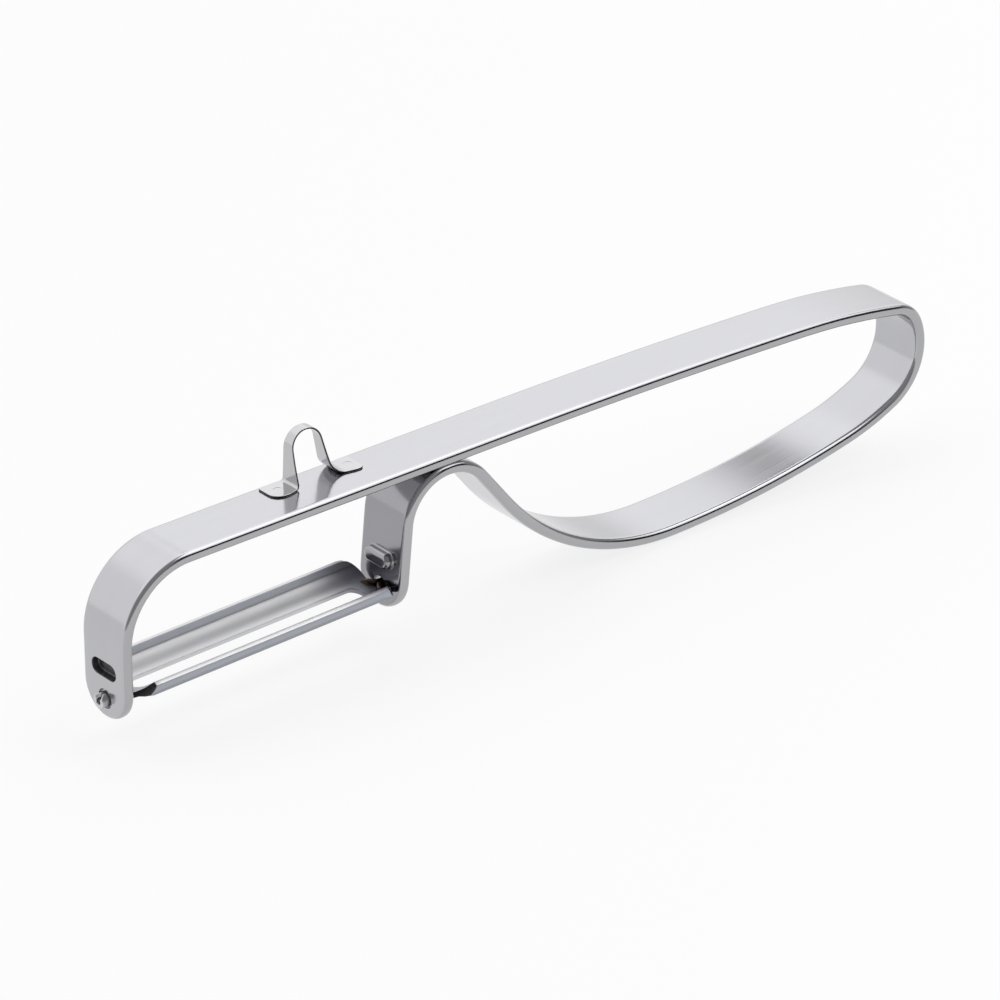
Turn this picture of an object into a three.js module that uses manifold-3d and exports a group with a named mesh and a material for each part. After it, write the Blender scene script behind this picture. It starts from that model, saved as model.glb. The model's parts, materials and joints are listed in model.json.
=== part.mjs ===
// A swivel vegetable peeler of stainless steel: one bent strip makes the head and the hand grip, a formed
// blade swings between the two arms of the head, and a small strap loop on top digs out potato eyes.
// Millimetres, +Z up, +X towards the tail, the blade's cutting side towards -Y.
import * as THREE from "three";
import { mergeVertices } from "three/addons/utils/BufferGeometryUtils.js";
import Module from "manifold-3d";

const wasm = await Module();
wasm.setup();

// The strip's section
const STRIP_WIDTH = 12;
const STRIP_THICKNESS = 2.2;
const STRIP_EDGE_RADIUS = 0.9;

// The strip's path: radii are at the middle of the thickness, angles in degrees
const FRONT_BEND_RADIUS = 13.7;
const TOP_STRAIGHT_LENGTH = 73.7;
const BOW_LENGTH = 65;
const BOW_ANGLE = 2.4;
const SHOULDER_LENGTH = 22.4;
const SHOULDER_ANGLE = 8.9;
const TAIL_UPPER_RADIUS = 6.5;
const TAIL_UPPER_ANGLE = 55.9;
const TAIL_LOWER_RADIUS = 11.5;
const GRIP_TAIL_SLOPE = 25.8;
const GRIP_HEEL_RADIUS = 49.5;
const GRIP_HEEL_ANGLE = 13.3;
const BELLY_RADIUS = 48;
const NECK_LENGTH = 8.9;
const NECK_SLOPE = 52.2;
const CREST_RADIUS = 9.3;
const CREST_WELD_SINK = 0.12;
const REAR_ARM_LEAN = 6;

// The arms of the head: pivot holes and pressed stop lugs
const ARM_GAP = 57.2;
const PIN_DEPTH = 25.6;
const REAR_PIN_RISE = 1.2;
const PIN_TO_ARM_END = 3.7;
const PIVOT_BORE = 3.6;
const LUG_LENGTH = 6.7;
const LUG_HEIGHT = 2.9;
const LUG_PRESS = 1.5;
const LUG_ABOVE_PIN = 5.7;

// The blade: a round trough with a rim, a slot along its floor and a rolled tongue at each end
const BLADE_SHEET = 1;
const TROUGH_RADIUS = 6.7;
const TROUGH_HALF_WIDTH = 5.23;
const TROUGH_FLOOR = 0.4;
const RIM_HEIGHT = 1.3;
const RIM_ANGLE = 80;
const FRONT_RIM_HEIGHT = 0.35;
const FRONT_RIM_ANGLE = 62;
const BEVEL_WIDTH = 1.05;
const BEVEL_ANGLE = 30;
const BEVEL_FACE_HEIGHT = 2.15;
const BEVEL_FACE_INSET = 0.9;
const BEVEL_HEEL_WIDTH = 1.2;
const SLOT_WIDTH = 3.7;
const SLOT_END_MARGIN = 3;
const BLADE_END_FLOAT = 0.7;
const BLADE_CORNER_RADIUS = 3.3;
const BLADE_FRONT_CUT = 4.5;
const TONGUE_SHEET = 0.75;
const TONGUE_SEAM = 0.5;
const TONGUE_CLEARANCE = 0.45;
const TONGUE_PROUD = 1.4;

// The eye remover: a strap loop whose feet lie on the top run
const LOOP_START = 37.25;
const LOOP_SHEET = 0.4;
const LOOP_HEIGHT = 10.2;
const LOOP_ARCH_RADIUS = 3.2;
const LOOP_FRONT_LEAN = 0.5;
const LOOP_REAR_LEAN = 11.8;
const LOOP_FRONT_FOLD_RADIUS = 0.65;
const LOOP_REAR_FOLD_RADIUS = 3.2;
const LOOP_FRONT_FOOT = 4.8;
const LOOP_REAR_FOOT = 3.4;
const LOOP_FOOT_WIDTH = 5.2;
const LOOP_ARCH_WIDTH = 2.05;
const LOOP_FRONT_CHAMFER = 1.7;
const LOOP_REAR_CHAMFER = 0.6;
const LOOP_EDGE_SETBACK = 1.05;
const LOOP_FAR_SHARE = 0.19;
const LOOP_TO_BARE_FACE = 1;

// The most of a half thickness that an edge's round may take, how far a cutter runs past what it cuts, and
// how near two points lie that count as one
const EDGE_ROUND_SHARE = 0.95;
const CUT_PAST = 1;
const SAME_POINT = 1e-5;

// How finely the round stretches are faceted
const PATH_STEP_DEGREES = 6;
const EDGE_ROUND_STEPS = 3;
const ROUND_END_STEPS = 7;
const BORE_SIDES = 28;
const CURVE_SEGMENTS = 10;

const radians = THREE.MathUtils.degToRad;

const steel = (color, roughness) => new THREE.MeshStandardMaterial({ color, roughness, metalness: 1 });
const satinSteel = steel(0xc9c9cd, 0.32);
const bladeSteel = steel(0xbfc1c6, 0.28);
const polishedSteel = steel(0xd6d6d8, 0.14);

// Solids and booleans

/** A closed geometry as a solid that can be joined and cut. */
function solidOf(geometry) {
  const bare = new THREE.BufferGeometry();
  bare.setAttribute("position", geometry.getAttribute("position").clone());
  bare.setIndex(geometry.index ? geometry.index.clone() : null);
  const merged = mergeVertices(bare, SAME_POINT);
  return new wasm.Manifold(
    new wasm.Mesh({
      numProp: 3,
      vertProperties: new Float32Array(merged.attributes.position.array),
      triVerts: new Uint32Array(merged.index.array),
    }),
  );
}

/** A solid back as a geometry with flat-shaded normals. */
function geometryOf(solid) {
  const mesh = solid.getMesh();
  const geometry = new THREE.BufferGeometry();
  geometry.setAttribute("position", new THREE.BufferAttribute(new Float32Array(mesh.vertProperties), 3));
  geometry.setIndex(new THREE.BufferAttribute(new Uint32Array(mesh.triVerts), 1));
  const flat = geometry.toNonIndexed();
  flat.computeVertexNormals();
  return flat;
}

/** One named node with its own finish. */
function node(name, geometry, material) {
  const mesh = new THREE.Mesh(geometry, material);
  mesh.name = name;
  return mesh;
}

/** A flat outline drawn out along Z. */
function extrude(outline, depth, curveSegments = CURVE_SEGMENTS) {
  return new THREE.ExtrudeGeometry(outline, { depth, bevelEnabled: false, curveSegments });
}

/** A closed skin over rings that all hold the same number of points, with flat ends. */
function skin(rings) {
  const count = rings[0].length;
  const positions = rings.flat().flatMap((point) => point.toArray());
  const index = [];
  for (let ring = 0; ring + 1 < rings.length; ring += 1) {
    for (let i = 0; i < count; i += 1) {
      const a = ring * count + i;
      const b = ring * count + ((i + 1) % count);
      index.push(a, b, a + count, b, b + count, a + count);
    }
  }
  const last = (rings.length - 1) * count;
  for (let i = 1; i + 1 < count; i += 1) {
    index.push(0, i + 1, i);
    index.push(last, last + i, last + i + 1);
  }
  const geometry = new THREE.BufferGeometry();
  geometry.setAttribute("position", new THREE.Float32BufferAttribute(positions, 3));
  geometry.setIndex(index);
  return geometry;
}

// A path in the XZ plane, drawn as a pen would: straight runs and tangent arcs

class Path {
  constructor(x, z, headingDegrees) {
    this.at = new THREE.Vector2(x, z);
    this.heading = radians(headingDegrees);
    this.stations = [{ at: this.at.clone(), heading: this.heading }];
  }

  /** Adds a straight run. */
  line(length) {
    this.at.x += length * Math.cos(this.heading);
    this.at.y += length * Math.sin(this.heading);
    this.stations.push({ at: this.at.clone(), heading: this.heading });
    return this;
  }

  /** Adds an arc: a positive turn is to the left of the pen, a negative one to its right. */
  arc(radius, turnDegrees) {
    const turn = radians(turnDegrees);
    const side = Math.sign(turn);
    const centre = this.sideways(side * radius);
    const start = this.heading;
    const steps = Math.max(2, Math.ceil(Math.abs(turnDegrees) / PATH_STEP_DEGREES));
    for (let i = 1; i <= steps; i += 1) {
      this.heading = start + (turn * i) / steps;
      this.at.set(
        centre.x + side * radius * Math.sin(this.heading),
        centre.y - side * radius * Math.cos(this.heading),
      );
      this.stations.push({ at: this.at.clone(), heading: this.heading });
    }
    return this;
  }

  /** An arc given by its length along the path. */
  arcOfLength(length, turnDegrees) {
    return this.arc(length / radians(Math.abs(turnDegrees)), turnDegrees);
  }

  /** The point at a distance to the left of the pen. */
  sideways(distance) {
    return new THREE.Vector2(
      this.at.x - distance * Math.sin(this.heading),
      this.at.y + distance * Math.cos(this.heading),
    );
  }
}

// The frame strip

/** The strip's half width where the path lies this far from the end of an arm: the ends are half round. */
function halfWidthAt(fromEnd) {
  const radius = STRIP_WIDTH / 2;
  if (fromEnd >= radius) {
    return radius;
  }
  return Math.sqrt(radius ** 2 - (radius - fromEnd) ** 2);
}

/** The section's outline, as offsets across the strip and through its thickness. */
function stripSection(halfWidth) {
  const halfThickness = STRIP_THICKNESS / 2;
  const most = EDGE_ROUND_SHARE * Math.min(halfThickness, halfWidth);
  const round = Math.min(STRIP_EDGE_RADIUS, most);
  const outline = [];
  for (let corner = 0; corner < 4; corner += 1) {
    const acrossSign = corner === 0 || corner === 3 ? 1 : -1;
    const throughSign = corner < 2 ? 1 : -1;
    for (let i = 0; i <= EDGE_ROUND_STEPS; i += 1) {
      const angle = radians(90 * corner + (90 * i) / EDGE_ROUND_STEPS);
      outline.push({
        across: acrossSign * (halfWidth - round) + round * Math.cos(angle),
        through: throughSign * (halfThickness - round) + round * Math.sin(angle),
      });
    }
  }
  return outline;
}

/** The strip swept along stations, each with the half width that it has there. */
function sweepStrip(stations) {
  return skin(
    stations.map(({ at, heading, halfWidth }) =>
      stripSection(halfWidth).map(({ across, through }) =>
        new THREE.Vector3(at.x - through * Math.sin(heading), across, at.y + through * Math.cos(heading)),
      ),
    ),
  );
}

/** Stations over the half-round end of an arm, from its tip inwards. */
function roundEndStations(tip, heading) {
  const radius = STRIP_WIDTH / 2;
  const stations = [];
  for (let i = 1; i <= ROUND_END_STEPS; i += 1) {
    const fromEnd = radius * (1 - Math.cos(radians((90 * i) / ROUND_END_STEPS)));
    const at = new THREE.Vector2(
      tip.x + fromEnd * Math.cos(heading),
      tip.y + fromEnd * Math.sin(heading),
    );
    stations.push({ at, heading, halfWidth: halfWidthAt(fromEnd) });
  }
  return stations;
}

const full = (stations) => stations.map((station) => ({ ...station, halfWidth: STRIP_WIDTH / 2 }));

/** The turn between two headings in degrees, the short way round. */
function turnBetween(from, to) {
  return THREE.MathUtils.euclideanModulo(THREE.MathUtils.radToDeg(to - from) + 180, 360) - 180;
}

/** Lets a path run in one arc onto a circle that lies on its right. */
function arcOnto(path, centre, radius) {
  const right = new THREE.Vector2(Math.sin(path.heading), -Math.cos(path.heading));
  const apart = path.at.clone().sub(centre);
  const arcRadius = (radius ** 2 - apart.lengthSq()) / (2 * (apart.dot(right) + radius));
  const inward = path.sideways(-arcRadius).sub(centre).normalize().multiplyScalar(Math.sign(arcRadius));
  const heading = Math.atan2(inward.x, -inward.y);
  path.arc(Math.abs(arcRadius), turnBetween(path.heading, heading));
}

/** The frame's path from the front arm's end to the rear arm's, and the station where the belly starts. */
function framePath() {
  const half = STRIP_THICKNESS / 2;
  const armDepth = PIN_DEPTH + PIN_TO_ARM_END;
  const tailSweep = 180 - GRIP_TAIL_SLOPE - BOW_ANGLE - SHOULDER_ANGLE - TAIL_UPPER_ANGLE;
  const loopStretch = loopPath().at.x + LOOP_TO_BARE_FACE - half - FRONT_BEND_RADIUS;
  const path = new Path(half, -armDepth, 90)
    .line(armDepth - half - FRONT_BEND_RADIUS)
    .arc(FRONT_BEND_RADIUS, -90)
    .line(loopStretch)
    .line(TOP_STRAIGHT_LENGTH - loopStretch)
    .arcOfLength(BOW_LENGTH, -BOW_ANGLE)
    .arcOfLength(SHOULDER_LENGTH, -SHOULDER_ANGLE)
    .arc(TAIL_UPPER_RADIUS, -TAIL_UPPER_ANGLE)
    .arc(TAIL_LOWER_RADIUS, -tailSweep)
    .arc(GRIP_HEEL_RADIUS, -GRIP_HEEL_ANGLE);

  const lean = radians(REAR_ARM_LEAN);
  const rearPin = new THREE.Vector2(
    STRIP_THICKNESS + ARM_GAP + half / Math.cos(lean),
    REAR_PIN_RISE - PIN_DEPTH,
  );
  const crestHeight = CREST_WELD_SINK - STRIP_THICKNESS - half - CREST_RADIUS;
  const rise = (crestHeight - rearPin.y + CREST_RADIUS * Math.sin(lean)) / Math.cos(lean);
  const crestCentre = new THREE.Vector2(
    rearPin.x + rise * Math.sin(lean) + CREST_RADIUS * Math.cos(lean),
    crestHeight,
  );

  const neck = radians(180 - NECK_SLOPE);
  const along = new THREE.Vector2(Math.cos(neck), Math.sin(neck));
  const right = new THREE.Vector2(Math.sin(neck), -Math.cos(neck));
  const bellyCentre = crestCentre
    .clone()
    .addScaledVector(right, CREST_RADIUS + BELLY_RADIUS)
    .addScaledVector(along, -NECK_LENGTH);
  arcOnto(path, bellyCentre, BELLY_RADIUS);
  const bellyStart = path.stations.length - 1;
  path.arc(BELLY_RADIUS, turnBetween(path.heading, neck)).line(NECK_LENGTH);
  path.arc(CREST_RADIUS, turnBetween(path.heading, radians(270) - lean));
  path.line(rise + PIN_TO_ARM_END);
  return { stations: path.stations, bellyStart };
}

/** The group that holds what turns on the pins: its X axis runs from the front pin to the rear one. */
function pinGroup() {
  const group = new THREE.Group();
  group.position.set(STRIP_THICKNESS, 0, -PIN_DEPTH);
  group.rotation.y = -Math.atan2(REAR_PIN_RISE, ARM_GAP);
  group.updateMatrix();
  return group;
}

const PIN_SPAN = Math.hypot(ARM_GAP, REAR_PIN_RISE);

/** An obround bar along X, as long and as high as a stop lug, from one x to another. */
function lugBar(fromX, toX) {
  const radius = LUG_HEIGHT / 2;
  const reach = LUG_LENGTH / 2 - radius;
  const outline = new THREE.Shape();
  outline.absarc(reach, 0, radius, -Math.PI / 2, Math.PI / 2);
  outline.absarc(-reach, 0, radius, Math.PI / 2, 1.5 * Math.PI);
  const bar = extrude(outline, toX - fromX);
  return bar.rotateX(Math.PI / 2).rotateZ(Math.PI / 2).translate(fromX, 0, 0);
}

/** Presses a stop lug through an arm: a pocket on its outer face and the lug on its inner one. */
function pressLug(strip, armFace) {
  const place = (geometry) => solidOf(geometry.applyMatrix4(armFace));
  const pocket = place(lugBar(-STRIP_THICKNESS - CUT_PAST, LUG_PRESS - STRIP_THICKNESS));
  const lug = place(lugBar(-STRIP_THICKNESS / 2 + LUG_PRESS / 2, LUG_PRESS));
  return strip.subtract(pocket).add(lug);
}

/** A frame on an arm's inner face at the lug: +X points towards the blade. */
function lugFace(pinX, pinZ, leanDegrees, towardsTail) {
  const face = new THREE.Matrix4().makeTranslation(pinX, 0, pinZ);
  face.multiply(new THREE.Matrix4().makeRotationY(radians(leanDegrees)));
  face.multiply(new THREE.Matrix4().makeTranslation(0, 0, LUG_ABOVE_PIN));
  return face.multiply(new THREE.Matrix4().makeRotationZ(towardsTail ? 0 : Math.PI));
}

function frameStrip() {
  const { stations, bellyStart } = framePath();
  const rearEnd = stations.at(-1);
  const frontTip = roundEndStations(stations[0].at, stations[0].heading);
  const rearTip = roundEndStations(rearEnd.at, rearEnd.heading + Math.PI)
    .map((station) => ({ ...station, heading: rearEnd.heading }))
    .reverse();
  const head = solidOf(sweepStrip([...frontTip, ...full(stations.slice(1, bellyStart + 1))]));
  const tail = solidOf(sweepStrip([...full(stations.slice(bellyStart, -1)), ...rearTip]));
  const boreLength = PIN_SPAN + 2 * (STRIP_THICKNESS + CUT_PAST);
  const bore = new THREE.CylinderGeometry(PIVOT_BORE / 2, PIVOT_BORE / 2, boreLength, BORE_SIDES);
  bore.rotateZ(Math.PI / 2).translate(PIN_SPAN / 2, 0, 0).applyMatrix4(pinGroup().matrix);
  let strip = head.add(tail);
  strip = pressLug(strip, lugFace(STRIP_THICKNESS, -PIN_DEPTH, 0, true));
  strip = pressLug(
    strip,
    lugFace(STRIP_THICKNESS + ARM_GAP, REAR_PIN_RISE - PIN_DEPTH, REAR_ARM_LEAN, false),
  );
  return node("frame_strip", geometryOf(strip.subtract(solidOf(bore))), satinSteel);
}

// The blade, in the pin group's own frame: X along the pins, the trough open upwards

/** Points of an arc about (0, height), from one angle to another, measured from straight down. */
function troughArc(radius, height, fromDegrees, toDegrees) {
  const points = [];
  for (let i = 0; i <= CURVE_SEGMENTS; i += 1) {
    const angle = radians(fromDegrees + ((toDegrees - fromDegrees) * i) / CURVE_SEGMENTS);
    points.push(new THREE.Vector2(radius * Math.sin(angle), height - radius * Math.cos(angle)));
  }
  return points;
}

/** The height of the trough's rim above the pins. */
function rimTop() {
  const sweep = Math.asin(TROUGH_HALF_WIDTH / TROUGH_RADIUS);
  return TROUGH_FLOOR + TROUGH_RADIUS * (1 - Math.cos(sweep)) + RIM_HEIGHT * Math.sin(radians(RIM_ANGLE));
}

/** The blade's section: a plain rim at the back (+Y), a ground bevel under the edge at the front (-Y). */
function bladeSection() {
  const sweep = THREE.MathUtils.radToDeg(Math.asin(TROUGH_HALF_WIDTH / TROUGH_RADIUS));
  const height = TROUGH_FLOOR + TROUGH_RADIUS;
  const outer = TROUGH_RADIUS + BLADE_SHEET;
  const rim = radians(RIM_ANGLE);
  const up = new THREE.Vector2(RIM_HEIGHT * Math.cos(rim), RIM_HEIGHT * Math.sin(rim));
  const inside = troughArc(TROUGH_RADIUS, height, -sweep, sweep);
  const outside = troughArc(outer, height, sweep, -sweep);
  const backTop = inside.at(-1).clone().add(up);
  const backOut = new THREE.Vector2(
    backTop.x + BLADE_SHEET * Math.sin(rim),
    backTop.y - BLADE_SHEET * Math.cos(rim),
  );
  const frontRim = radians(FRONT_RIM_ANGLE);
  const frontEdge = new THREE.Vector2(
    inside[0].x - FRONT_RIM_HEIGHT * Math.cos(frontRim),
    inside[0].y + FRONT_RIM_HEIGHT * Math.sin(frontRim),
  );
  const bevel = radians(BEVEL_ANGLE);
  const bevelEdge = new THREE.Vector2(
    frontEdge.x - BEVEL_WIDTH * Math.cos(bevel),
    frontEdge.y - BEVEL_WIDTH * Math.sin(bevel),
  );
  const heel = new THREE.Vector2(bevelEdge.x + BEVEL_FACE_INSET, bevelEdge.y - BEVEL_FACE_HEIGHT);
  const under = outside.filter((point) => point.x > heel.x + BEVEL_HEEL_WIDTH);
  return [frontEdge, ...inside, backTop, backOut, ...under, heel, bevelEdge];
}

/** A bar along X with the blade's length whose upper corners are round, seen from the side. */
function bladeEndCutter(fromX, toX) {
  const top = rimTop() + BLADE_SHEET;
  const corner = BLADE_CORNER_RADIUS;
  const shoulder = rimTop() - corner;
  const outline = new THREE.Shape();
  outline.moveTo(fromX, -TROUGH_RADIUS);
  outline.lineTo(toX, -TROUGH_RADIUS);
  outline.lineTo(toX, shoulder);
  outline.absarc(toX - corner, shoulder, corner, 0, Math.PI / 2);
  outline.lineTo(toX - corner, top);
  outline.lineTo(fromX + corner, top);
  outline.lineTo(fromX + corner, rimTop());
  outline.absarc(fromX + corner, shoulder, corner, Math.PI / 2, Math.PI);
  const depth = 4 * TROUGH_RADIUS;
  return extrude(outline, depth).translate(0, 0, -depth / 2).rotateX(Math.PI / 2);
}

/** A wedge that takes off the blade's front corner at 45 degrees, seen from above. */
function frontCornerCutter(fromX) {
  const frontY = Math.min(...bladeSection().map((point) => point.x));
  const reach = BLADE_FRONT_CUT + CUT_PAST;
  const outline = new THREE.Shape();
  outline.moveTo(fromX - CUT_PAST, frontY - CUT_PAST);
  outline.lineTo(fromX + reach, frontY - CUT_PAST);
  outline.lineTo(fromX - CUT_PAST, frontY + reach);
  const depth = 4 * TROUGH_RADIUS;
  return extrude(outline, depth).translate(0, 0, -depth / 2);
}

/** The slot's cutter: an obround column through the trough's floor. */
function slotCutter(fromX, toX) {
  const radius = SLOT_WIDTH / 2;
  const outline = new THREE.Shape();
  outline.absarc(toX - radius, 0, radius, -Math.PI / 2, Math.PI / 2);
  outline.absarc(fromX + radius, 0, radius, Math.PI / 2, 1.5 * Math.PI);
  const depth = 2 * TROUGH_RADIUS;
  return extrude(outline, depth).translate(0, 0, -depth / 2);
}

/** A tongue: sheet rolled to an open ring about the pin axis, its seam on top. */
function tongue(fromX, toX) {
  const outer = PIVOT_BORE / 2 - TONGUE_CLEARANCE;
  const inner = outer - TONGUE_SHEET;
  const seam = Math.asin(TONGUE_SEAM / 2 / outer);
  const outline = new THREE.Shape();
  outline.absarc(0, 0, outer, Math.PI / 2 + seam, 2.5 * Math.PI - seam, false);
  outline.absarc(0, 0, inner, 2.5 * Math.PI - seam, Math.PI / 2 + seam, true);
  const tube = extrude(outline, toX - fromX, BORE_SIDES);
  return tube.rotateX(Math.PI / 2).rotateZ(Math.PI / 2).translate(fromX, 0, 0);
}

function swivelBlade() {
  const start = BLADE_END_FLOAT;
  const end = PIN_SPAN - BLADE_END_FLOAT;
  const trough = extrude(new THREE.Shape(bladeSection()), end - start);
  trough.rotateX(Math.PI / 2).rotateZ(Math.PI / 2).translate(start, 0, 0);
  const reach = BLADE_END_FLOAT + STRIP_THICKNESS + TONGUE_PROUD;
  const root = SLOT_END_MARGIN - TONGUE_SHEET;
  const solid = solidOf(trough)
    .intersect(solidOf(bladeEndCutter(start, end)))
    .subtract(solidOf(frontCornerCutter(start)))
    .subtract(solidOf(slotCutter(start + SLOT_END_MARGIN, end - SLOT_END_MARGIN)))
    .add(solidOf(tongue(start - reach, start + root)))
    .add(solidOf(tongue(end - root, end + reach)));
  return node("swivel_blade", geometryOf(solid), bladeSteel);
}

// The eye remover loop

/** The strap's path along the middle of its sheet, from the front foot over the arch to the rear foot. */
function loopPath() {
  const front = 90 - LOOP_FRONT_LEAN;
  const rear = 90 - LOOP_REAR_LEAN;
  const legLength = (angle, fold) => {
    const bends = (fold + LOOP_ARCH_RADIUS) * (1 - Math.cos(radians(angle)));
    return (LOOP_HEIGHT - LOOP_SHEET - bends) / Math.sin(radians(angle));
  };
  return new Path(LOOP_START, LOOP_SHEET / 2, 0)
    .line(LOOP_FRONT_CHAMFER)
    .line(LOOP_FRONT_FOOT - LOOP_FRONT_CHAMFER)
    .arc(LOOP_FRONT_FOLD_RADIUS, front)
    .line(legLength(front, LOOP_FRONT_FOLD_RADIUS))
    .arc(LOOP_ARCH_RADIUS, -front - rear)
    .line(legLength(rear, LOOP_REAR_FOLD_RADIUS))
    .arc(LOOP_REAR_FOLD_RADIUS, rear)
    .line(LOOP_REAR_FOOT - LOOP_REAR_CHAMFER)
    .line(LOOP_REAR_CHAMFER);
}

/** The strap's edges across the strip: wide on the feet, drawn in up the legs, chamfered at the ends. */
function loopEdges(station, chamfer) {
  const share = (station.at.y - LOOP_SHEET) / (LOOP_HEIGHT - LOOP_SHEET);
  const climb = Math.sin((Math.PI / 2) * THREE.MathUtils.clamp(share, 0, 1));
  const drawnIn = climb * (LOOP_FOOT_WIDTH - LOOP_ARCH_WIDTH);
  const side = STRIP_WIDTH / 2 - LOOP_EDGE_SETBACK;
  const far = side - LOOP_FAR_SHARE * drawnIn;
  const near = side - LOOP_FOOT_WIDTH + (1 - LOOP_FAR_SHARE) * drawnIn + chamfer;
  return { near, far };
}

function eyeRemoverLoop() {
  const { stations } = loopPath();
  const half = LOOP_SHEET / 2;
  const chamfers = stations.map(() => 0);
  chamfers[0] = LOOP_FRONT_CHAMFER;
  chamfers[stations.length - 1] = LOOP_REAR_CHAMFER;
  const rings = stations.map((station, i) => {
    const { near, far } = loopEdges(station, chamfers[i]);
    const corner = (across, through) =>
      new THREE.Vector3(
        station.at.x - through * Math.sin(station.heading),
        across,
        station.at.y + through * Math.cos(station.heading),
      );
    return [corner(far, half), corner(near, half), corner(near, -half), corner(far, -half)];
  });
  return node("eye_remover_loop", geometryOf(solidOf(skin(rings))), polishedSteel);
}

// The assembly: its origin is under the middle of its length, on the surface that the belly rests on

const pins = pinGroup();
pins.add(swivelBlade());
const assembly = new THREE.Group();
assembly.add(frameStrip(), pins, eyeRemoverLoop());
const box = new THREE.Box3().setFromObject(assembly, true);
assembly.position.set(-(box.min.x + box.max.x) / 2, 0, -box.min.z);

const peeler = new THREE.Group();
peeler.add(assembly);
export default peeler;
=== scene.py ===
"""Dresses a steel swivel peeler: a bent strip, a trough blade on two rolled tongues and an eye remover.

Every piece starts as a flat blank with rolled edges, as it does at the press: u runs along the blank, v
across it and w through it. The blank is then bent along a path or formed to a section. Sizes are in
millimetres.
"""

import json
import logging
import math
from bisect import bisect_left
from collections.abc import Callable
from dataclasses import dataclass, field, replace
from enum import Enum
from functools import partial
from itertools import accumulate, islice

import bmesh
import bpy
from mathutils import Matrix, Vector
from mathutils.geometry import delaunay_2d_cdt


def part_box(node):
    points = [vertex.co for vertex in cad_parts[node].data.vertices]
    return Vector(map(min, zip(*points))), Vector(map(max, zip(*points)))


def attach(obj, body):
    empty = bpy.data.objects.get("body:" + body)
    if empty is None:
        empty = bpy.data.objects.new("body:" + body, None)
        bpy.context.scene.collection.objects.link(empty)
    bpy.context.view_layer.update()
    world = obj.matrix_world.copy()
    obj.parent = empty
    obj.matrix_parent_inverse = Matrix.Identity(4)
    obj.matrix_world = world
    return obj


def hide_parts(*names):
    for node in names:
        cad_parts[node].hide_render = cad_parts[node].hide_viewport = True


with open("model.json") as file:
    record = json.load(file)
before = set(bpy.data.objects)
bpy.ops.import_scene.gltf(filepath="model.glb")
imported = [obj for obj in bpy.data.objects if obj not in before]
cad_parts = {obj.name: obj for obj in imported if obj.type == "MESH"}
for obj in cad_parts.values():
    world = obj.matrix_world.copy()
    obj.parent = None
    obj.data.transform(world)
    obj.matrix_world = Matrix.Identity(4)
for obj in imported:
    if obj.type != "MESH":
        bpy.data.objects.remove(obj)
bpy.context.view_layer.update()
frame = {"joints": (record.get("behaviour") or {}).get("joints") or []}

MM = 0.001
UV_NAME = "blank"
LOG = logging.getLogger("peeler")
Pair = tuple[float, float]
Triple = tuple[float, float, float]
Points = list[Vector]

# How finely shapes are drawn: in degrees, in millimetres, or as a count of steps
BEND_STEP = 2.0
RUN_STEP = 2.0
SIDE_STEP = 1.2
FINE_STEP = 0.4
EDGE_STEPS = 5
LOOP_STEPS = 12
SECTION_STEPS = 40
TROUGH_ROWS = 46
TONGUE_COLUMNS = 30
TONGUE_ROWS = 14
FLOOR_SEGMENTS = 96
# The columns and rows that the tongue's grid leaves clear at the tip's corners
TONGUE_CORNER = (5, 3)
# A rolled edge's steps round a quarter turn, as shares of its radius
QUARTER = [
    (1 - math.sin(angle), 1 - math.cos(angle))
    for angle in (math.pi / 2 * i / EDGE_STEPS for i in range(EDGE_STEPS + 1))
]
# The flat rim kept beside every rounded edge, and how far the UV map leans with the depth
FLAT_RIM = 0.12
UV_LEAN = 0.7
# The fill that leaves holes open, and how near each other two of its points may lie
HOLES_STAY_OPEN = 2
SAME_POINT = 1e-6
# The values of a noise that are used, and the turn that draws highlights out across the streaks
NOISE_SPAN = (0.3, 0.7)
ACROSS_STREAKS = 0.25
# Settings that several nodes share
SMOOTH = {"interpolation_type": "SMOOTHSTEP"}
COLOURS = {"data_type": "RGBA"}
MULTIPLY = {"operation": "MULTIPLY"}


class Body(Enum):
    """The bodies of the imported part."""

    FRAME = "frame"
    BLADE = "blade"


class Slot(Enum):
    """The record's material slots."""

    STRIP = "strip_steel"
    BLADE = "blade_steel"
    LOOP = "loop_steel"


class Facet(Enum):
    """The blade's finishes, as places in its list of materials."""

    SATIN = 0
    GROUND = 1
    TINTED = 2
    RIM = 3
    # The blade's front cut, painted dark as painted shade
    PAINTED_DARK = 4


def linear(colour: str) -> tuple[float, float, float, float]:
    """Turns an sRGB hex colour to linear values.

    Args:
        colour: Six hex digits.

    Returns:
        Linear red, green and blue, with an alpha of one.
    """
    channels = [int(colour[i : i + 2], 16) / 255 for i in (0, 2, 4)]
    steps = [c / 12.92 if c <= 0.04045 else ((c + 0.055) / 1.055) ** 2.4 for c in channels]
    return (steps[0], steps[1], steps[2], 1.0)


def add_node(
    tree: bpy.types.NodeTree,
    kind: str,
    settings: dict | None = None,
    inputs: dict | None = None,
) -> bpy.types.Node:
    """Adds a node with its settings and links.

    Args:
        tree: The node tree that takes the node.
        kind: The node's type.
        settings: The node's properties by name.
        inputs: Values, or sockets to link from, by the input's name or number.

    Returns:
        The new node.
    """
    made = tree.nodes.new(kind)
    for name, value in (settings or {}).items():
        setattr(made, name, value)
    for key, value in (inputs or {}).items():
        if isinstance(value, bpy.types.NodeSocket):
            tree.links.new(value, made.inputs[key])
        else:
            made.inputs[key].default_value = value
    return made


# Flat shapes: closed loops of (u, v) points that run anticlockwise


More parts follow.
